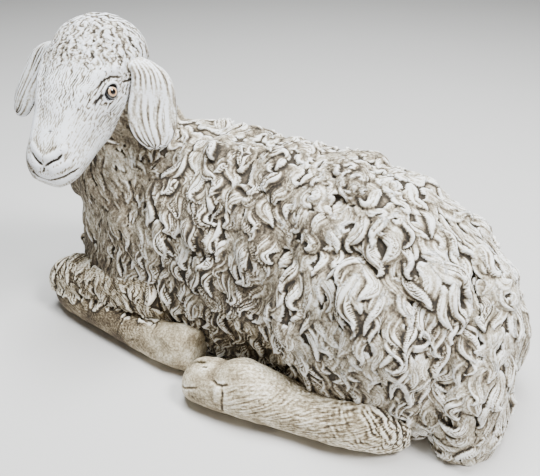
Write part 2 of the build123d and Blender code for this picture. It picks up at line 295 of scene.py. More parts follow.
def combed(clay, normals, roots, ways, sizes, chance, under, pitch):
    """Lays a lock of wool at each root, over what lies under it, and keeps the highest at each point.

    Sizes are length, width, height, bend, curl and stray. What lies under, and the result, are
    each point's height, and how far it is across and along its lock.
    """
    height, across, along = under
    bins = Bins(clay.points, 7.0)
    steps = np.linspace(0, 1, lock_steps)
    swell = 0.62 + 0.66 * lumps(clay.points[roots], 24.0, chance)
    for number, root in enumerate(roots):
        length, width, rise, bend, curl, stray = sizes[number]
        breadth = chance.uniform(*breadth_range)
        length *= chance.uniform(*length_range)
        half = width * breadth / 2
        rise *= chance.uniform(*rise_range) * swell[number]
        place, normal = clay.points[root], normals[root]
        way = ways[number] - normal * (ways[number] @ normal)
        way = unit(way + 1e-6)
        side = np.cross(normal, way)
        turn = chance.normal(0, stray)
        turned = way * math.cos(turn) + side * math.sin(turn)
        side = side * math.cos(turn) - way * math.sin(turn)
        way = turned
        hand = chance.choice((-1.0, 1.0))
        waves, start = chance.uniform(0.7, 1.25), chance.uniform(0, 1)
        stride = np.full(lock_steps, length / (lock_steps - 1))
        if abs(curl) > round_curl:
            heading = curl * steps ** 1.3
            stride = stride * (1.5 - 1.15 * steps)
        else:
            heading = bend * np.sin(2 * np.pi * (waves * steps + start))
            hook = np.maximum(0, (steps - 0.45) / 0.55) ** 1.6
            heading += hand * curl * chance.uniform(0.3, 1.7) * hook
        line_along = np.concatenate([[0], np.cumsum((np.cos(heading) * stride)[:-1])])
        line_across = np.concatenate([[0], np.cumsum((np.sin(heading) * stride)[:-1])])
        halfway = lock_steps // 2
        middle = place + way * line_along[halfway] + side * line_across[halfway]
        near = bins.near(middle, length * 0.55 + half + 1)
        offset = clay.points[near] - place
        far = np.linalg.norm(offset, axis=1)
        keep = (far < length + half) & (normals[near] @ normal > 0.25)
        near, offset, far = near[keep], offset[keep], far[keep]
        if not len(near):
            continue
        here_along, here_across = offset @ way, offset @ side
        stretch = far / np.maximum(np.hypot(here_along, here_across), 0.3 * far + 1e-6)
        here_along, here_across = here_along * stretch, here_across * stretch
        gap_along = here_along[:, None] - line_along[None, :]
        gap_across = here_across[:, None] - line_across[None, :]
        closest = np.argmin(gap_along ** 2 + gap_across ** 2, axis=1)
        row = np.arange(len(near))
        gap_along, gap_across = gap_along[row, closest], gap_across[row, closest]
        face = heading[closest]
        beyond = gap_along * np.cos(face) + gap_across * np.sin(face)
        aside = gap_across * np.cos(face) - gap_along * np.sin(face)
        half_step = length / (2 * (lock_steps - 1))
        share = np.clip(steps[closest] + np.clip(beyond, -half_step, half_step) / length, 0, 1)
        thick = half * (share + 0.06) ** 0.5 * (1.03 - share) ** 0.85 * 1.75
        past_tip = np.where(closest == lock_steps - 1, np.maximum(beyond, 0), 0)
        over = np.where(closest == 0, np.maximum(-beyond, 0), past_tip)
        edge = np.hypot(aside, over) / thick
        inside = edge < 1
        near, share, aside, thick, edge = (one[inside] for one in (near, share, aside, thick, edge))
        lift = 0.15 + 0.85 * smooth_step(0.0, 0.70, share)
        lean = hand * aside / thick
        dome = (1 - edge ** np.where(lean > 0, 3.6, 1.5)) ** 0.9
        strands = max(1.5, 2 * half / pitch)
        crossing = aside / thick
        lane = (crossing * 0.5 + 0.5 + 0.10 * np.sin(4.4 * crossing + 6 * start)) * strands
        lane += 0.35 * np.sin(2 * np.pi * (0.9 * share + start)) + start
        ridge = (0.5 + 0.5 * np.cos(2 * np.pi * lane)) ** chance.uniform(0.7, 1.6)
        strength = chance.uniform(0.25, 1.0, 16)[np.round(lane).astype(int) % 16]
        grooved = 1 - lock_groove + lock_groove * ridge * strength
        level = rise * lift * (1 + 0.30 * lean) * dome * grooved
        below = height[near]
        higher = level > below
        overlap = np.maximum(lock_blend - np.abs(level - below), 0)
        height[near] = np.maximum(level, below) + overlap ** 2 / (4 * lock_blend)
        near = near[higher]
        across[near] = aside[higher] + number * 7.3
        along[near] = share[higher] * length + number * 3.1
    return height, across, along


def near_path(points, path, closed=False):
    """Each point's distance to a path, and its share of the way along it."""
    path = np.array(path, dtype=float)
    if closed:
        path = np.concatenate([path, path[:1]])
    best = np.full(len(points), 1e9)
    where = np.zeros(len(points))
    lengths = np.linalg.norm(np.diff(path, axis=0), axis=1)
    starts = np.concatenate([[0], np.cumsum(lengths)]) / max(lengths.sum(), 1e-9)
    for number, (start, end) in enumerate(zip(path[:-1], path[1:])):
        run = end - start
        share = np.clip((points - start) @ run / max(run @ run, 1e-9), 0, 1)
        away = np.linalg.norm(points - start - share[:, None] * run, axis=1)
        closer = away < best
        best[closer] = away[closer]
        where[closer] = (starts[number] + share * (starts[number + 1] - starts[number]))[closer]
    return best, where


def hair_lines(points, way, chance, long, fine):
    """Fine wavy lines that run along a way, from 0 to 1."""
    way = unit(np.array(way, dtype=float))
    wavy = points + 1.6 * (lumps(points, 9.0, chance) - 0.5)[:, None]
    along = wavy @ way
    rest = wavy - along[:, None] * way
    return lumps(rest / fine + (along / long)[:, None] * way, 1.0, chance)


fine_stroke = 2
fade_share = 0.25


def stroke(points, path, width, height):
    """A ridge, or with a height below zero a groove, along a path. A fine one fades at its ends."""
    away, where = near_path(points, path)
    level = height * np.exp(-(away / width) ** 2)
    if width < fine_stroke:
        spare = 0.3 * fade_share
        level *= smooth_step(0, fade_share, where + spare) * smooth_step(0, fade_share, 1 + spare - where)
    return level


def strokes(points, rows):
    """The sum of several strokes, each a path, a width and a height."""
    return sum(stroke(points, *row) for row in rows)


crest_middle = 0.55


def shade_of(clay, height, spans=(2, 7, 28), weights=(0.07, 0.15, 0.27), middle=crest_middle):
    """How far each point stands above what is around it, from 0 in a recess to 1 on a crest."""
    crest = np.full(clay.count, middle)
    level, done = height, 0
    for span, weight in zip(spans, weights):
        level = clay.relaxed(level, span - done)
        done = span
        rise = height - level
        crest += weight * rise / max(rise.std(), 1e-6)
    return crest


lower_sizes = np.array([0.95, 1.15, 0.50, 1.1, 1, 1.4])
lower_gap = 0.95
upper_gap = 1.32
least_wool = 0.35


def wool(clay, guides, kinds, seed, where=None, marks=None, extra=(), soft=8, tight=0.62, floor=1.3,
         pitch=2.2, contrast=1.0, bare=0.70, grit=0.7, wash_and_shade=0.0):
    """Covers a piece with locks that lie as the guides say, and keeps what its material reads.

    The locks lie in a lower and an upper layer. Extra locks are given one by one: a place, a way and
    the sizes of each. Bare is the tone where there are no locks, grit is its contrast, and the wash
    and shade make the tone darker or lighter by places, partly as painted shade and light.
    """
    chance = np.random.default_rng(seed)
    calm = clay.relaxed(clay.points, soft)
    normals = clay.normals(calm)
    amount = np.ones(clay.count) if where is None else where
    _, sizes = guided(clay.points, guides, kinds)
    gaps = np.sqrt(sizes[:, 0] * sizes[:, 1])
    roots = scattered(clay.points, tight * lower_gap * gaps, amount > least_wool, chance)
    ways, sizes = guided(clay.points[roots], guides, kinds)
    ground = (np.full(clay.count, -floor), np.zeros(clay.count), np.zeros(clay.count))
    lower = combed(clay, normals, roots, ways, sizes * lower_sizes, chance, ground, pitch)
    roots = scattered(clay.points, tight * upper_gap * gaps, amount > least_wool, chance)
    ways, sizes = guided(clay.points[roots], guides, kinds)
    for place, way, size in extra:
        nearest = ((clay.points - np.array(place)) ** 2).sum(axis=1).argmin()
        roots = np.append(roots, nearest)
        ways = np.concatenate([ways, [way]])
        sizes = np.concatenate([sizes, [size]])
    height, across, along = combed(clay, normals, roots, ways, sizes, chance, lower, pitch)
    height = clay.relaxed(height, 1, 0.4) * amount
    if marks is not None:
        height = height + marks
    # The tone is darker in the recesses and paler on the crests, partly as the stone's wash and brushing
    # and partly as painted shade and light.
    crest = shade_of(clay, height)
    clay.points = clay.points + normals * height[:, None]
    clay.points = clay.relaxed(clay.points, 1, 0.2)
    clay.write()
    crest = crest_middle + (crest - crest_middle) * contrast
    plain = bare + grit * (crest - crest_middle)
    tone = crest * amount + plain * (1 - amount) + wash_and_shade
    clay.keep(crest=np.clip(tone, 0, 1), across=across, along=along, woolly=amount)


fleece = merged_copy("body", "fleece")
bpy.ops.object.mode_set(mode="EDIT")
bpy.ops.mesh.select_all(action="SELECT")
bpy.ops.mesh.bisect(plane_co=(0, 0, ground_trim * millimetre), plane_no=(0, 0, 1), clear_inner=True)
bpy.ops.mesh.select_all(action="DESELECT")
bpy.ops.object.mode_set(mode="OBJECT")
tops = np.array([vertex.co.z for vertex in fleece.data.vertices])
fleece.data.vertices[int(tops.argmax())].select = True
bpy.ops.object.mode_set(mode="EDIT")
bpy.ops.mesh.select_linked()
bpy.ops.mesh.select_all(action="INVERT")
bpy.ops.mesh.delete(type="VERT")
bpy.ops.mesh.select_all(action="DESELECT")
bpy.ops.mesh.select_mode(type="EDGE")
bpy.ops.mesh.select_non_manifold(extend=False)
bpy.ops.mesh.extrude_region_move(TRANSFORM_OT_translate={"value": (0, 0, -skirt_depth * millimetre)})
bpy.ops.mesh.fill()
bpy.ops.mesh.select_mode(type="VERT")
bpy.ops.mesh.select_all(action="SELECT")
bpy.ops.mesh.normals_make_consistent(inside=False)
bpy.ops.object.mode_set(mode="OBJECT")
even_faces(fleece, fleece_grain)

# Each guide is a place in millimetres and the way the wool lies there. The numbers of each kind
# are the length, width and height of a lock, then how much it bends, curls and strays.
wool_kinds = {
    "neck": (19, 5.4, 1.6, 0.45, 0.4, 0.16),
    "shoulder": (27, 14.5, 6.6, 0.6, 1, 0.22),
    "flank": (23, 13, 6, 0.6, 1, 0.24),
    "back": (12, 7, 3.6, 0.8, 1.9, 0.8),
    "haunch": (30, 9.2, 5.8, 0.7, 0.8, 0.14),
    "thigh": (25, 9.5, 3.4, 0.6, 0.8, 0.16),
    "rump": (24, 5.6, 1.7, 0.4, 0.3, 0.13),
}
fleece_guides = {
    "neck": [
        (-98, -54, 137, 0.12, 0.04, -0.99), (-122, -53, 94, 0, 0, -1),
        (-87, -51, 116, 0.15, -0.08, -0.99), (-78, -35, 142, 0.16, 0.19, -0.97),
        (-81, -56, 96, 0.17, -0.29, -0.94), (-113, -56, 77, 0.09, -0.16, -0.98),
        (-78, 9, 150, 0.54, -0.81, 0.25), (-145, -10, 100, 0, 0, -1), (-140, -10, 130, 0, 0, -1),
        (-150, -10, 60, 0.1, 0, -1), (-128, -5, 165, 0, 0, -1), (-85, -5, 175, 0.6, 0, -0.8)],
    "shoulder": [
        (-54, -27, 144, -0.1, -0.72, -0.68), (-37, -16, 151, 0.32, -0.87, -0.36),
        (-56, -52, 113, 0.18, -0.31, -0.94), (-33, -49, 119, 0.39, -0.47, -0.8),
        (-76, -59, 86, -0.27, -0.08, -0.96), (-56, -60, 79, 0.05, -0.08, -1),
        (-36, -62, 64, 0.13, -0.04, -0.99), (-24, -36, 137, 0.04, -0.72, -0.69)],
    "flank": [
        (-4, -25, 148, 0, -0.92, -0.4), (-3, -45, 125, -0.17, -0.51, -0.84),
        (17, -37, 138, 0.04, -0.72, -0.7), (-6, -54, 107, 0.19, -0.32, -0.93),
        (24, -54, 106, -0.04, -0.51, -0.86), (-3, -61, 76, 0.11, -0.1, -0.99),
        (13, -62, 62, -0.05, 0.08, -1), (40, -63, 94, -0.44, -0.19, -0.88),
        (36, -33, 142, 0, -0.72, -0.7), (58, -48, 121, 0.03, -0.71, -0.7),
        (25, -60, 40, -0.07, 0.12, -0.99), (61, -75, 62, 0.12, 0.11, -0.99),
        (-6, -60, 34, -0.13, 0.23, -0.96)],
    "back": [
        (-20, -5, 155, 0.67, -0.74, 0.02), (12, -2, 156, 0.63, -0.78, 0.02),
        (42, -4, 156, 0.6, -0.8, -0.07), (59, -25, 147, -0.24, -0.9, -0.36),
        (83, -14, 149, 0.53, -0.76, -0.38)],
    "haunch": [
        (76, -44, 125, -0.12, -0.68, -0.72), (94, -58, 116, 0.11, -0.68, -0.73),
        (100, -36, 128, 0.43, -0.54, -0.72), (106, -52, 113, 0.44, -0.77, -0.47),
        (116, -37, 120, 0.68, -0.48, -0.56), (129, -25, 121, 0.65, -0.23, -0.73),
        (131, -41, 104, 0.71, -0.01, -0.7), (112, -14, 137, 0.74, -0.45, -0.5),
        (140, -46, 89, 0.15, -0.55, -0.82), (123, -57, 90, 0.22, -0.38, -0.9),
        (135, -57, 69, 0.01, -0.41, -0.91), (142, -31, 105, 0.71, -0.11, -0.7)],
    "thigh": [
        (75, -68, 104, 0.57, -0.43, -0.7), (80, -75, 77, 0.33, -0.11, -0.94),
        (97, -70, 93, 0.39, -0.12, -0.91), (98, -75, 53, 0.23, 0.21, -0.95),
        (120, -69, 34, 0.55, -0.13, -0.83), (110, -71, 69, 0.35, -0.06, -0.94),
        (58, -61, 111, 0.49, -0.66, -0.57)],
    "rump": [
        (130, 0, 124, 0.76, 0, -0.65), (150, -11, 116, 0.67, -0.46, -0.58),
        (114, 0, 135, 0.92, -0.19, -0.33), (165, -20, 70, 0.1, 0, -1), (168, -20, 35, 0, 0, -1)],
}
# Folds are broad valleys between the masses of wool, and pits are deep holes between locks. Each
# row is a path, a width and a height. The extra locks are two round curls on the haunch.
fleece_folds = (
    (((-12, -38, 134), (-18, -47, 122), (-20, -53, 109), (-19, -55, 96)), 5, -3.2),
    (((62, -28, 144), (55, -36, 136), (47, -45, 126), (40, -51, 116)), 5, -3.2),
    (((46, -53, 111), (55, -66, 102), (62, -72, 90)), 4, -2.2),
    (((147, -39, 91), (143, -51, 72), (138, -58, 51), (134, -61, 29)), 5, -4),
    (((-60, -30, 142), (-72, -44, 126), (-84, -54, 104)), 5, -2),
)
fleece_pits = (
    (((-66, -45, 122), (-72, -49, 116)), 2.3, -6), (((-33, -55, 97), (-29, -57, 88)), 2, -6),
    (((-19, -56, 94), (-16, -57, 89)), 2.4, -6), (((0, -37, 137), (-6, -35, 138)), 2.2, -4),
    (((12, -42, 131), (13, -45, 127)), 2.6, -4.5), (((23, -44, 124), (25, -48, 118)), 2, -4),
    (((138, -30, 111), (142, -34, 104)), 2.2, -3.5), (((101, -42, 122), (104, -46, 116)), 1.8, -4),
    (((128, -56, 82), (131, -56, 76)), 1.8, -3.5),
)
fleece_curls = (
    ((117, -61, 97), (0.2, -0.3, -0.93), (36, 5.6, 5.6, 0, 7.6, 0)),
    ((110, -70, 82), (0.3, -0.2, -0.93), (26, 5.4, 4.8, 0, 5.4, 0)),
)
clay = Clay(fleece)
clay.points = clay.relaxed(clay.points, fleece_rounds)
seen = on_left(clay.points)
folds = strokes(seen, fleece_folds)
swells = 2.4 * (lumps(seen, 26.0, np.random.default_rng(3)) - 0.5)
folds += swells * smooth_step(0, 14, clay.points[:, 2])
clay.points = clay.points + clay.normals() * folds[:, None]
pits = strokes(seen, fleece_pits)
soft_neck = 0.62 + 0.38 * smooth_step(-100, -66, clay.points[:, 0] - 0.2 * (clay.points[:, 2] - 100))
# Patches of tone at random, with painted shade in the folds, on the neck, low on the sides and in the
# middle of the flank, and painted light on the rump.
patches_and_painted_light = 0.20 * (lumps(seen, 34.0, np.random.default_rng(8)) - 0.5) + 0.016 * folds
patches_and_painted_light -= 0.13 * (1 - soft_neck) / 0.38 + 0.07 * smooth_step(70, 30, seen[:, 2])
patches_and_painted_light += 0.08 * smooth_step(55, 105, seen[:, 0])
patches_and_painted_light -= 0.06 * smooth_step(-70, -30, seen[:, 0]) * smooth_step(75, 40, seen[:, 0])
wool(clay, fleece_guides, wool_kinds, seed=11, marks=pits, extra=fleece_curls, contrast=soft_neck,
     wash_and_shade=patches_and_painted_light)


def flat_cut(piece, place, normal, clear):
    """Cuts a piece by a plane, clears one side and closes the cut with flat, sharp-edged faces."""
    pick(piece)
    bpy.ops.object.mode_set(mode="EDIT")
    bpy.ops.mesh.select_all(action="SELECT")
    bpy.ops.mesh.bisect(
        plane_co=place, plane_no=normal, use_fill=True,
        clear_inner=clear == "inner", clear_outer=clear == "outer", threshold=1e-7)
    bpy.ops.object.mode_set(mode="OBJECT")
    mesh = piece.data
    flats = np.zeros(len(mesh.polygons), dtype=bool)
    mesh.polygons.foreach_get("select", flats)
    smooth = np.ones(len(mesh.polygons), dtype=bool)
    mesh.polygons.foreach_get("use_smooth", smooth)
    mesh.polygons.foreach_set("use_smooth", smooth & ~flats)
    mesh.update()


def flat_base(piece):
    """Smooths the shading of a piece and cuts it flat at the ground."""
    bpy.ops.object.shade_smooth()
    flat_cut(piece, (0, 0, 0), (0, 0, 1), "inner")


flat_base(fleece)
plug_low, plug_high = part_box("base_plug")
bpy.ops.object.select_all(action="DESELECT")
bpy.ops.mesh.primitive_cylinder_add(
    vertices=64, radius=(plug_high.y - plug_low.y) / 2 + pocket_play * millimetre,
    depth=2 * pocket_depth * millimetre, location=((plug_low.x + plug_high.x) / 2, 0, 0))
pocket = bpy.context.object
bpy.ops.object.transform_apply()
half_slot = (plug_high.x - plug_low.x - plug_high.y + plug_low.y) / 2
middle_x = (plug_low.x + plug_high.x) / 2
for vertex in pocket.data.vertices:
    vertex.co.x += half_slot if vertex.co.x > middle_x else -half_slot
apply(fleece, "BOOLEAN", operation="DIFFERENCE", object=pocket, solver="MANIFOLD")
bpy.data.objects.remove(pocket)


class Shade:
    """A socket of a material's nodes. Sums and products of sockets add Math nodes."""

    def __init__(self, tree, socket=None, material=None):
        self.tree, self.socket, self.material = tree, socket, material

    def node(self, kind, settings=None, inputs=None, output=0):
        """Adds a node: first its settings, then the values or links of its sockets."""
        new = self.tree.nodes.new(kind)
        for name, value in (settings or {}).items():
            if name == "stops":
                ramp = new.color_ramp.elements
                while len(ramp) < len(value):
                    ramp.new(0.5)
                for stop, (place, colour) in zip(ramp, value):
                    stop.position, stop.color = place, (*colour, 1)
            else:
                setattr(new, name, value)
        for name, value in (inputs or {}).items():
            if isinstance(value, Shade):
                self.tree.links.new(value.socket, new.inputs[name])
            else:
                new.inputs[name].default_value = value
        return Shade(self.tree, new.outputs[output])

    def maths(self, operation, one, other):
        """The sum, difference or product of two values."""
        return self.node("ShaderNodeMath", {"operation": operation}, {0: one, 1: other})

    def __add__(self, other):
        return self.maths("ADD", self, other)

    def __sub__(self, other):
        return self.maths("SUBTRACT", self, other)

    def __mul__(self, other):
        return self.maths("MULTIPLY", self, other)

    def __rsub__(self, other):
        return self.maths("SUBTRACT", other, self)

    __radd__, __rmul__ = __add__, __mul__

    def number(self, name):
        """A number stored for each point."""
        return self.node("ShaderNodeAttribute", {"attribute_name": name}, output=2)

    def noise(self, scale, stretch=(1, 1, 1), detail=3.0, rough=0.55):
        """Soft noise from 0 to 1, with so many lumps to the metre."""
        place = self.node("ShaderNodeTexCoord", output=3)
        place = self.node("ShaderNodeMapping", None, {"Vector": place, "Scale": stretch})
        return self.node("ShaderNodeTexNoise", None, {
            "Vector": place, "Scale": scale, "Detail": detail, "Roughness": rough})

    def blend(self, one, other, share):
        """A colour between two, by the share."""
        return self.node("ShaderNodeMix", {"data_type": "RGBA"}, {0: share, 6: one, 7: other}, 2)

    def clamp(self, low, high):
        """From 0 at the low value to 1 at the high one."""
        return self.node("ShaderNodeMapRange", {"interpolation_type": "SMOOTHSTEP"}, {
            "Value": self, "From Min": low, "From Max": high})

    def bump(self, height, deep, under=None):
        """A fine relief, so many metres deep."""
        inputs = {"Height": height, "Distance": deep, "Strength": 1.0}
        if under is not None:
            inputs["Normal"] = under
        return self.node("ShaderNodeBump", None, inputs)


def finish(sheet, colour, roughness, normal=None, **constants):
    """The material of a sheet, its surface made from the sockets given."""
    tree = sheet.tree
    shader = tree.nodes["Principled BSDF"]
    for key, value in (("Base Color", colour), ("Roughness", roughness), ("Normal", normal)):
        if isinstance(value, Shade):
            tree.links.new(value.socket, shader.inputs[key])
        elif value is not None:
            shader.inputs[key].default_value = value
    for key, value in constants.items():
        shader.inputs[key.replace("_", " ")].default_value = value
    return sheet.material


def new_material(name):
    """A bare material and the sheet its nodes go on."""
    material = bpy.data.materials.new(name)
    material.use_nodes = True
    return Shade(material.node_tree, material=material)


# The stone mix is pale grey, washed with thin umber that stays in the recesses and wiped off the
# crests, which are then brushed with a cooler, paler grey. The dark of the recesses is partly painted
# shade, and the pale, cool crests are partly painted light.
umber = (0.030, 0.023, 0.015)
shadow_grey = (0.110, 0.084, 0.055)
stone_grey = (0.298, 0.252, 0.178)
pale_grey = (0.605, 0.555, 0.450)
brushed_and_lit_grey = (0.925, 0.925, 0.900)
stone_stops = (
    (0.05, umber), (0.29, shadow_grey), (0.49, stone_grey), (0.67, pale_grey), (0.86, brushed_and_lit_grey))
ink_and_shade_black = (0.012, 0.010, 0.009)
no_tint = np.ones(3)
# The head and ears are tinted cool as painted light from above, and the legs warm as painted shade.
painted_cool_light_tint = np.array([0.97, 1.0, 1.08])
painted_warm_shade_tint = np.array([1.02, 0.98, 0.88])
mottle_share = 0.65
speck_share = 0.90
hair_share = 0.55


def stone(name, stretch=(1, 1, 1), made_paler=0.0, strands=False, lines=0.5, inked_and_shaded=False, tint=no_tint):
    """Washed and brushed stone mix. Its recesses are darker partly as painted shade, and its crests paler
    and cooler partly as painted light. Hair lines follow the locks, or run along a stretched axis.

    It can be made paler all over, and lines is how deep the hair lines are, in millimetres.
    """
    sheet = new_material(name)
    crest = sheet.number("crest")
    if strands:
        across, along = sheet.number("across"), sheet.number("along")
        place = sheet.node("ShaderNodeCombineXYZ", None, {0: across * 0.85, 1: along * 0.07})
        hair = sheet.node("ShaderNodeTexNoise", None, {"Vector": place, "Scale": 1.0, "Detail": 2.0})
        hair = (hair - 0.5) * sheet.number("woolly")
    else:
        hair = sheet.noise(900, stretch=stretch, detail=2) - 0.5
    mottle = sheet.noise(85, detail=4)
    speck = sheet.noise(620, detail=3, rough=0.7)
    tone = crest + (mottle - 0.5) * mottle_share + (speck - 0.5) * speck_share + hair * hair_share + made_paler
    stops = tuple((place, tuple(np.array(shade) * tint)) for place, shade in stone_stops)
    colour = sheet.node("ShaderNodeValToRGB", {"stops": stops}, {0: tone})
    pin = sheet.node("ShaderNodeTexVoronoi", None, {
        "Vector": sheet.node("ShaderNodeTexCoord", output=3), "Scale": 150.0})
    hole = (1 - pin.clamp(0.05, 0.12)) * sheet.noise(40).clamp(0.52, 0.62)
    colour = sheet.blend(colour, (*umber, 1), hole * 0.8)
    # Ink is black paint around the eyes, and in the carved grooves it is partly painted shade.
    if inked_and_shaded:
        colour = sheet.blend(colour, (*ink_and_shade_black, 1), sheet.number("ink"))
    rough = 0.80 + (1 - crest) * 0.14
    normal = sheet.bump(hair, lines * millimetre)
    normal = sheet.bump(speck, 0.25 * millimetre, normal)
    normal = sheet.bump(1 - hole, 0.5 * millimetre, normal)
    return finish(sheet, colour, rough, normal)


def dress(piece, material, slot, *nodes):
    """Gives a piece its material and hides the CAD nodes it stands for. The slot is not used."""
    piece.data.materials.clear()
    piece.data.materials.append(material)
    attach(piece, "root")
    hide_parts(*nodes)


fleece_stone = stone("fleece_stone", strands=True, lines=1.0)
rest_of_fleece = fleece
for plane, name in zip(fleece_planes, fleece_names):
    part = new_piece(rest_of_fleece.data, name)
    flat_cut(part, (plane * millimetre, 0, 0), (1, 0, 0), "outer")
    flat_cut(rest_of_fleece, (plane * millimetre, 0, 0), (1, 0, 0), "inner")
    dress(part, fleece_stone, "fleece_stone", "body")
rest_of_fleece.name = rest_of_fleece.data.name = fleece_names[-1]
dress(rest_of_fleece, fleece_stone, "fleece_stone", "body")

# The plug closes the hole under the body. It is a plate of the same stone mix, bonded on a ledge,
# and the dowel is a steel pin that the head was bonded on.
plug_sheet = new_material("plug_stone")
plug_tone = plug_sheet.noise(60, detail=5)
plug_colour = plug_sheet.blend((0.30, 0.28, 0.25, 1), (0.47, 0.45, 0.42, 1), plug_tone)
plug_stone = finish(
    plug_sheet, plug_colour, 0.9, plug_sheet.bump(plug_sheet.noise(500), 0.4 * millimetre))
dowel_sheet = new_material("dowel_steel")
dowel_tone = dowel_sheet.noise(300, stretch=(1, 1, 0.05))
dowel_colour = dowel_sheet.blend((0.42, 0.42, 0.42, 1), (0.60, 0.60, 0.59, 1), dowel_tone)
dowel_steel = finish(
    dowel_sheet, dowel_colour, 0.25 + dowel_tone * 0.2, dowel_sheet.bump(dowel_tone, 0.1 * millimetre),
    Metallic=1.0)
for node, material in (("base_plug", plug_stone), ("neck_dowel", dowel_steel)):
    mesh = frame["nodes"][node].data
    mesh.materials.clear()
    mesh.materials.append(material)

# The tail is cast apart and bonded over the rump. Its wool lies over broad swells, falls to the
# ground and turns in at the end.
cast_grain = 0.62
tail_swell = 3.0
tail_kinds = {"upper": (22, 9.5, 4.2, 0.65, 1.1, 0.22), "lower": (26, 11.5, 4.8, 0.65, 1, 0.22)}
tail_guides = {
    "upper": [(162, -30, 91, 0.14, -0.54, -0.83), (174, -29, 56, 0.09, -0.34, -0.93),
              (160, -44, 71, -0.1, -0.49, -0.87), (150, -11, 116, 0.67, -0.46, -0.58),
              (170, 0, 80, 0.2, 0, -1), (170, -5, 50, 0.1, 0, -1)],
    "lower": [(149, -53, 48, -0.35, -0.15, -0.93), (168, -50, 39, -0.18, -0.4, -0.9),
              (149, -56, 15, -0.52, 0.34, -0.78), (175, -25, 20, 0, -0.3, -1)],
}
tail, clay = blank("tail", "woolly_tail", cast_grain, rounds=20)
masses = lumps(clay.points, 24.0, np.random.default_rng(6)) - 0.5
swells = tail_swell * masses * smooth_step(0, 12, clay.points[:, 2])
clay.points = clay.points + clay.normals() * swells[:, None]
# The tone is lighter on the broad swells and darker between them, partly as painted shade.
wool(clay, tail_guides, tail_kinds, seed=5, pitch=2.0, contrast=0.9, wash_and_shade=0.04 + 0.16 * masses)
flat_base(tail)
dress(tail, stone("tail_stone", strands=True, lines=1.0), "tail_stone", "tail")

# Each foreleg is folded under: a woolly forearm over a bare shin that ends in its hoof. It is cast
# apart and bonded to the side of the chest.
arm_kinds = {"arm": (16, 9.5, 4, 0.4, 0.7, 0.25), "cuff": (21, 12, 5, 0.5, 1, 0.3)}
arm_guides = {
    "arm": [(-143, -72, 34, 0.06, -0.1, -0.99), (-113, -69, 44, 0.25, -0.43, -0.87),
            (-83, -67, 49, 0.14, -0.24, -0.96), (-141, -60, 50, 0.31, -0.94, -0.18),
            (-97, -60, 65, -0.05, -0.28, -0.96)],
    "cuff": [(-59, -64, 47, -0.2, 0, -1), (-66, -68, 38, 0.3, -0.2, -0.9)],
}
arm_strokes = (
    (((-88, -67, 27), (-88, -76.5, 23), (-89, -81.5, 15)), 0.9, -0.8),
    (((-62, -66, 29), (-58, -72, 29), (-57, -79, 26)), 1, -0.4),
    (((-80, -84, 12), (-74, -83, 17), (-66, -82, 19)), 1, -0.3),
    (((-120, -82, 12), (-100, -82, 16), (-86, -80, 20)), 7, 0.8),
)
hoof_facets = (((-0.18, -0.91, 0.36), 2.4), ((0.93, -0.30, 0.18), 3.0), ((0.55, -0.80, 0.20), 1.8))


def faceted(points, amount, normal, cut):
    """Cuts the points back to a plane, so deep below the farthest one."""
    normal = unit(np.array(normal))
    level = points @ normal
    over = np.maximum(level - (level[amount > 0.9].max() - cut), 0) * amount
    return points - over[:, None] * normal


leg_stone = stone("leg_stone", strands=True, lines=0.7, tint=painted_warm_shade_tint)
for side, sign in (("left", 1), ("right", -1)):
    foreleg, clay = blank(f"{side}_foreleg", f"{side}_folded_foreleg", cast_grain, rounds=14)
    mirror = np.array([1, sign, 1])
    seen = clay.points * mirror
    for normal, cut in hoof_facets:
        hoof = smooth_step(-68, -50, seen[:, 0]) * smooth_step(42, 30, seen[:, 2])
        seen = faceted(seen, hoof, normal, cut)
    clay.points = seen * mirror
    x, _, z = clay.points.T
    chance = np.random.default_rng(24)
    line = np.interp(x, (-175, -150, -138, -101, -80, -62, -50), (17, 20, 22.4, 25, 27, 29.5, 45))
    line = line + 6.0 * (lumps(clay.points, 10.0, chance) - 0.5)
    woolly = smooth_step(-1.2, 1.2, z - line)
    marks = strokes(seen, arm_strokes)
    hair = 0.26 * (hair_lines(clay.points, (0.9, 0, -0.4), chance, 7.0, 1.0) - 0.5)
    marks += hair * smooth_step(-50, -75, x)
    marks += 0.6 * (lumps(clay.points, 13.0, chance) - 0.5)
    # Painted shade darkens the bare shin towards its front, over patches of tone at random.
    shaded = -0.21 * smooth_step(-56, -88, x) * (1 - woolly) - 0.07
    shaded += 0.12 * (lumps(seen, 22.0, chance) - 0.5)
    wool(clay, arm_guides, arm_kinds, seed=21 + sign, where=woolly, marks=marks, bare=0.60, grit=0.55,
         wash_and_shade=shaded)
    flat_base(foreleg)
    dress(foreleg, leg_stone, "leg_stone", f"{side}_foreleg")

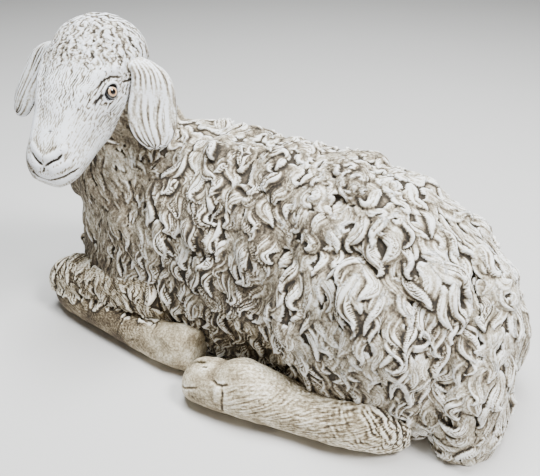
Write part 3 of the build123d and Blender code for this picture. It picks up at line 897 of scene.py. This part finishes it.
# Each hind leg lies along the ground from the hock to the hoof. It has short hair, with streaks of
# the thigh's wool running out over the hock. It is cast apart and bonded under the thigh.
shank_kinds = {"hock": (30, 4.6, 1.3, 0.25, 0.1, 0.07)}
shank_guides = {
    "hock": [(107, -74, 38, 0.45, -0.2, -0.87), (120, -72, 32, 0.4, -0.15, -0.9),
             (128, -66, 22, 0.3, 0, -0.95)],
}
shank_strokes = (
    (((8.5, -97.5, 32.2), (14, -99.3, 32), (17.7, -98.7, 31.9), (22, -97, 34)), 1, -0.8),
    (((17.7, -98.7, 32), (19.8, -101.1, 27), (19.4, -102.6, 16), (18, -102, 5)), 1, -0.7),
    (((14.5, -101, 28), (15.5, -102.5, 22)), 3, 0.9),
    (((-14, -101, 17), (-10.3, -102.4, 18.5), (-5.6, -102.8, 21.3), (1, -101.9, 24.5)), 0.9, -0.6),
    (((-3.5, -104, 15.6), (-3.3, -104, 15.4)), 0.7, -0.9),
    (((0.3, -104, 15.4), (0.5, -104, 15.2)), 0.7, -0.9),
    (((-3, -91.5, 32.4), (1, -91, 33.4)), 0.8, -0.6),
    (((7, -96, 34), (7, -88, 37), (7, -80, 35), (6, -70, 30)), 5, -1.8),
    (((22, -86, 38), (22, -74, 37)), 10, 2.2),
    (((30, -100, 20), (60, -97, 22), (90, -92, 20)), 9, 0.8),
)
for side, sign in (("left", 1), ("right", -1)):
    hind, clay = blank(f"{side}_hind_leg", f"{side}_hind_shank", cast_grain, rounds=10)
    seen = clay.points * np.array([1, sign, 1])
    x, _, z = seen.T
    marks = strokes(seen, shank_strokes)
    chance = np.random.default_rng(52)
    hairy = smooth_step(14, 30, x) * (1 - 0.6 * smooth_step(28, 38, z)) * 0.8 + 0.2
    marks += 0.30 * hairy * (hair_lines(seen, (0.85, 0.2, 0.45), chance, 14.0, 1.7) - 0.5)
    marks += 0.18 * hairy * (hair_lines(seen, (0.95, 0.2, 0.2), chance, 8.0, 0.9) - 0.5)
    marks += 0.6 * (lumps(clay.points, 13.0, chance) - 0.5)
    streaks = hair_lines(seen, (0.6, -0.2, -0.75), chance, 22.0, 2.4)
    marks += 0.55 * smooth_step(66, 104, x + 0.5 * (z - 30)) * (streaks - 0.5)
    past_line = x - 110 - 0.6 * (38 - z) + 12 * (lumps(clay.points, 12.0, chance) - 0.5)
    woolly = smooth_step(-5, 5, past_line)
    shaded = 0.14 * (lumps(seen, 24.0, chance) - 0.5) - 0.02
    wool(clay, shank_guides, shank_kinds, seed=51 + sign, where=woolly, marks=marks, floor=0.2,
         pitch=1.6, contrast=0.7, bare=0.60, grit=0.44, wash_and_shade=shaded)
    flat_base(hind)
    dress(hind, leg_stone, "leg_stone", f"{side}_hind_leg")

# The head is a casting of its own, bonded on the neck's dowel. Its face is bare, with short hair,
# and its poll is covered with small waves of wool.
head_grain = 0.58
eye_place = (21.7, 26.5, 7.75)
head_root = np.array([-114.194, -36.0, 202.0])
muzzle_way = np.array([0.0777, -0.7788, -0.6225])
left_way = np.array([0.9951, 0.0993, 0.0])
crown_way = np.array([0.0618, -0.6194, 0.7826])


def on_head(rows, side=1):
    """Places on the head, from their distances along it, to its left and above its middle."""
    return [head_root + along * muzzle_way + side * left * left_way + up * crown_way
            for along, left, up in rows]


def eye_frame(side):
    """The middle of an eye, and the ways to its front, its top and out of the head."""
    middle = on_head([eye_place], side)[0]
    out = unit(0.05 * muzzle_way + side * 0.80 * left_way + 0.60 * crown_way)
    front = unit(muzzle_way - out * (muzzle_way @ out))
    top = unit(crown_way - out * (crown_way @ out) - front * (crown_way @ front))
    return middle, front, top, out


# Strokes of the carving tool: a path, a width, a height above the face and how dark its wash is,
# which in the grooves is partly painted shade.
face_strokes = (
    (((24.5, 23.2, 15.2), (20, 24, 15.8), (15, 26.5, 14.2), (11.5, 29.4, 9.5)), 0.8, -0.7, 0.5),
    (((26, 19.5, 19), (20, 21, 19.5), (13, 25, 18), (7, 29, 13)), 4, 1.3, 0),
    (((25.5, 25.8, 11), (28.4, 24.9, 12.1), (31.6, 23.7, 12.3), (34.3, 23.1, 11.8)), 1, -0.9, 1),
    (((28, 25.4, 10.8), (30.5, 24.8, 10.4), (33, 24.4, 9.6)), 1.6, -0.3, 0.35),
    (((13, 30.2, 6.8), (9, 30.9, 2.8), (5.3, 31, 0.7)), 0.8, -0.4, 0.3),
    (((33, 27, 3), (45, 24, 1), (60, 19, 1)), 8, -1.3, 0),
    (((30, 17, 20), (45, 13.5, 17), (62, 11, 13.5)), 4, 0.9, 0),
    (((8, 29, -12), (18, 29, -10)), 11, 1.4, 0),
    (((26, 27, 2), (32, 26, 3.5)), 2.4, 0.5, 0),
)
nose_strokes = (
    (((77.8, 5.4, 7.9), (75.4, 8.4, 8.8), (72.2, 11.8, 8.2), (69.6, 13.3, 8.6)), 0.8, -1.3, 0.75),
    (((77.8, 2.6, 8.2), (77.2, -0.3, 9.1), (75, -3.8, 10.1), (73, -6, 10.6)), 0.8, -1.2, 0.6),
    (((78.8, 4, 7.2), (81.2, 3.2, 5)), 0.7, -0.5, 0.45),
    (((74, 6, 11), (70, 11, 11.5), (66, 14, 10)), 2.4, 0.8, 0),
    (((74, 1, 12), (71, -4, 13), (68, -8, 13)), 2.4, 0.7, 0),
    (((79, 9, 4.5), (76, 13, 4.5), (72, 16, 4)), 2.6, 0.7, 0),
    (((80, -1.5, 6.5), (78, -6, 7), (75, -9, 7)), 2.4, 0.6, 0),
    (((79.6, -9.8, 1), (81.9, -4.7, 3.3), (84.1, -0.3, 1.6), (84.1, 4.3, 0), (82.1, 10.2, -0.1),
      (79.6, 13.8, -0.8), (75.8, 16.9, -1.4), (71, 18.9, -3.2)), 0.75, -0.75, 0.32),
    (((82, -3, -1.5), (83.5, 4, -3.5), (81, 11, -4), (76, 15, -5)), 2.2, 0.6, 0),
    (((58.1, 3.2, 14.9), (58.6, 3.3, 14.8)), 1.1, -1, 0.7),
    (((1.5, 21.5, 22.5), (-4, 23.5, 20.5)), 0.9, -1, 0.7),
    (((-3, 8, 26), (-3.4, 8.2, 26)), 0.8, -0.8, 0.7),
    (((8, 17, 23), (8.3, 17.2, 23)), 0.7, -0.7, 0.6),
)
poll_kinds = {"poll": (12, 2.8, 0.55, 0.9, 0.5, 0.35), "nape": (12, 5, 2, 0.5, 0.5, 0.3)}
poll_rows = {
    "poll": (
        ((20, 6, 24), muzzle_way), ((5, 8, 26), muzzle_way + 0.3 * left_way),
        ((-10, 6, 25), muzzle_way + 0.3 * left_way), ((15, 22, 18), muzzle_way + 0.4 * left_way),
        ((-5, 24, 18), muzzle_way * 0.5 + left_way), ((5, 29, 5), muzzle_way * 0.6 - crown_way),
        ((20, -6, 24), muzzle_way), ((-8, -10, 25), muzzle_way),
        ((15, -22, 18), muzzle_way - 0.4 * left_way), ((-5, -24, 18), muzzle_way * 0.5 - left_way),
        ((5, -29, 5), muzzle_way * 0.6 - crown_way)),
    "nape": (
        ((-28, 0, 15), -muzzle_way - crown_way), ((-32, 0, -5), -crown_way), ((-20, 25, -5), -crown_way),
        ((-20, -25, -5), -crown_way), ((0, 25, -22), -crown_way), ((0, -25, -22), -crown_way)),
}
poll_guides = {
    kind: [(*on_head([place])[0], *way) for place, way in rows] for kind, rows in poll_rows.items()}
head, clay = blank("head", "carved_head", head_grain, rounds=8)
head_ways = (muzzle_way, left_way, crown_way)
head_along, head_left, head_up = ((clay.points - head_root) @ way for way in head_ways)
wool_edge = np.interp(head_up, (-40, -12, 0, 7, 17, 25), (-24, -14, 4, 9, 14, 18))
woolly = smooth_step(9, -7, head_along - wool_edge)
chance = np.random.default_rng(35)
marks = 0.40 * (hair_lines(clay.points, muzzle_way, chance, 5.0, 1.0) - 0.5) * (1 - woolly)
marks *= 0.30 + 0.70 * smooth_step(60, 20, head_along)
marks += 0.5 * (lumps(clay.points, 14.0, chance) - 0.5)
ink = np.zeros(clay.count)
rows = [(on_head(path), *rest) for path, *rest in nose_strokes]
rows += [(on_head(path, side), *rest) for path, *rest in face_strokes for side in (1, -1)]
for path, width, height, wash_and_shade in rows:
    marks += stroke(clay.points, path, width, height)
    away, _ = near_path(clay.points, path)
    ink = np.maximum(ink, wash_and_shade * np.exp(-(away / (0.8 * width)) ** 2))
for side in (1, -1):
    middle, front, top, out = eye_frame(side)
    x, y, z = ((clay.points - middle) @ way for way in (front, top, out))
    turn = np.linspace(0, 2 * np.pi, 40)[:-1]
    lid_height = np.where(np.sin(turn) > 0, 4.6, 3.7)
    lid = np.stack([6.0 * np.cos(turn) + 0.5, lid_height * np.sin(turn), 0 * turn], axis=1)
    flat = np.stack([x, y, 0 * x], axis=1)
    away, _ = near_path(flat, lid, closed=True)
    outside = z > 0
    marks += outside * (0.45 + 0.40 * (y > 0)) * np.exp(-(away / 1.0) ** 2)
    opening = ((x - 0.5) / 5.3) ** 2 + (y / np.where(y > 0, 3.9, 3.1)) ** 2
    marks -= outside * 0.7 * np.exp(-(opening / 0.9) ** 4)
    ink = np.maximum(ink, outside * (1 - smooth_step(0.85, 1.35, opening)))
# The face is darker at the muzzle, and painted shade darkens its far right side, over patches of tone at
# random.
shaded = -0.13 * smooth_step(62, 76, head_along) - 0.07 * smooth_step(6, -14, head_left)
shaded += 0.22 * (lumps(clay.points, 16.0, chance) - 0.5)
wool(clay, poll_guides, poll_kinds, seed=31, where=woolly, marks=marks, soft=6, tight=0.55, floor=0.15,
     pitch=1.3, contrast=0.70, bare=0.78, grit=2.0, wash_and_shade=shaded + 0.02)
clay.keep(ink=ink)
bpy.ops.object.shade_smooth()
head_stone = stone("head_stone", made_paler=0.09, strands=True, lines=0.6, inked_and_shaded=True, tint=painted_cool_light_tint)
dress(head, head_stone, "head_stone", "head")

# The ears hang from the sides of the crown. Each is cast apart, with its hair cut as long lines
# that draw together at the tip.
ear_stone = stone("ear_stone", stretch=(1, 1, 0.12), made_paler=0.10, lines=0.3, tint=painted_cool_light_tint)
ear_grain = 0.5
ear_slices = 30
ear_lines = 9.0
ear_relief = 1.1
for side in ("left", "right"):
    ear, clay = blank(f"{side}_ear", f"{side}_hanging_ear", ear_grain, rounds=4)
    centre = clay.points.mean(axis=0)
    _, _, ways = np.linalg.svd((clay.points - centre)[::7], full_matrices=False)
    long_way, wide_way, thin_way = ways
    long_way = long_way * np.sign(-long_way[2])
    length = (clay.points - centre) @ long_way
    share = (length - length.min()) / np.ptp(length)
    width = (clay.points - centre) @ wide_way
    slices = np.clip((share * ear_slices).astype(int), 0, ear_slices)
    numbers = np.arange(ear_slices + 1)
    low = np.array([width[slices == number].min() for number in numbers])
    high = np.array([width[slices == number].max() for number in numbers])
    low, high = (np.interp(share * ear_slices, numbers, level) for level in (low, high))
    place = 2 * (width - low) / np.maximum(high - low, 1) - 1
    chance = np.random.default_rng(41)
    normals = clay.normals()
    lane = np.stack([place * ear_lines / 2, share * 2.2, 0.8 * np.sign(normals @ thin_way)], axis=1)
    lane[:, 0] += 0.8 * (lumps(clay.points, 20.0, chance) - 0.5)
    ridge = lumps(lane * np.array([0.55, 0.6, 1]), 1.0, chance)
    fine = lumps(lane * np.array([1.5, 1.6, 1]), 1.0, chance)
    relief = ear_relief * (0.75 * smooth_step(0.05, 0.75, ridge) + 0.35 * fine)
    relief *= smooth_step(0.0, 0.35, share)
    # The tone is darker in the grooves and paler on the ridges, partly as wash and partly as painted
    # shade and light.
    crest = shade_of(clay, relief, spans=(2, 6, 20), weights=(0.20, 0.19, 0.16), middle=0.63)
    crest += 0.12 * (lumps(clay.points, 22.0, chance) - 0.5)
    clay.points = clay.points + normals * relief[:, None]
    clay.write()
    clay.keep(crest=np.clip(crest, 0, 1))
    bpy.ops.object.shade_smooth()
    dress(ear, ear_stone, "ear_stone", f"{side}_ear")

# The eyes are small glass domes, set in the head under its lids. Each has an amber ring, darker
# towards the middle, and a black pupil.
eye_grain = 0.16
iris_radius = 2.75
pupil_radius = 1.7
amber = (0.42, 0.19, 0.07, 1)
pale_amber = (0.80, 0.55, 0.33, 1)
pupil_black = (0.006, 0.005, 0.005, 1)
rim_black = (0.010, 0.008, 0.007, 1)
for side, name in ((1, "left"), (-1, "right")):
    eye, clay = blank(f"{name}_eye", f"{name}_glass_eye", eye_grain, rounds=4)
    clay.write()
    middle, front, top, out = eye_frame(side)
    gaze = unit(out + 0.10 * front - 0.05 * top)
    offset = clay.points - middle
    from_gaze = np.linalg.norm(offset - (offset @ gaze)[:, None] * gaze, axis=1)
    from_gaze += 9 * (offset @ gaze < 0)
    around = np.arctan2(offset @ np.cross(gaze, front), offset @ front)
    clay.keep(ring=from_gaze, around=around)
    bpy.ops.object.shade_smooth()
    sheet = new_material(f"{name}_eye_glass")
    ring, around = sheet.number("ring"), sheet.number("around")
    place = sheet.node("ShaderNodeCombineXYZ", None, {0: around * 3.0, 1: ring * 0.5})
    rays = sheet.node("ShaderNodeTexNoise", None, {"Vector": place, "Scale": 3.0})
    colour = sheet.blend(amber, pale_amber, ring.clamp(1.3, 2.9) * 0.75 + rays * 0.25)
    pupil = 1 - ring.clamp(pupil_radius - 0.1, pupil_radius + 0.12)
    colour = sheet.blend(colour, pupil_black, pupil)
    colour = sheet.blend(colour, rim_black, ring.clamp(iris_radius - 0.1, iris_radius + 0.15))
    eye_glass = finish(sheet, colour, 0.07, Coat_Weight=1.0, IOR=1.5)
    dress(eye, eye_glass, "eye_glass", f"{name}_eye")

# The studio: a pale floor, a large cool light overhead, a smaller one from the upper right and a
# weak warm one low at the front.
bpy.ops.object.select_all(action="DESELECT")
bpy.ops.mesh.primitive_plane_add(size=8, location=(0, 0, 0))
floor = bpy.context.object
floor.name = floor.data.name = "floor"
floor_sheet = new_material("floor_paper")
floor_colour = floor_sheet.blend((0.62, 0.61, 0.59, 1), (0.66, 0.65, 0.63, 1), floor_sheet.noise(3))
floor_paper = finish(floor_sheet, floor_colour, 0.9)
floor.data.materials.append(floor_paper)


def soft_light(name, place, aim, size, watts, colour):
    """A square soft light that faces a point."""
    bpy.ops.object.select_all(action="DESELECT")
    bpy.ops.object.light_add(type="AREA", location=place)
    light = bpy.context.object
    light.name = name
    light.data.size = size
    light.data.energy = watts
    light.data.color = colour
    way = np.array(aim) - np.array(place)
    rise = math.atan2(way[2], math.hypot(way[0], way[1]))
    turn = math.atan2(way[1], way[0]) - math.pi / 2
    light.rotation_euler = (math.pi / 2 + rise, 0, turn)


soft_light("overhead", (-0.05, 0.02, 1.3), (0, 0, 0.1), 0.6, 38, (0.93, 0.97, 1.0))
soft_light("key", (0.70, -0.05, 1.05), (0, 0, 0.1), 0.30, 24, (0.97, 0.98, 1.0))
soft_light("bounce", (0.55, -0.95, 0.20), (0, 0, 0.08), 0.9, 1.6, (1.0, 0.82, 0.62))
world = bpy.data.worlds.new("studio")
bpy.context.scene.world = world
world.use_nodes = True
world.node_tree.nodes["Background"].inputs["Color"].default_value = (1.0, 0.95, 0.88, 1)
world.node_tree.nodes["Background"].inputs["Strength"].default_value = 0.13
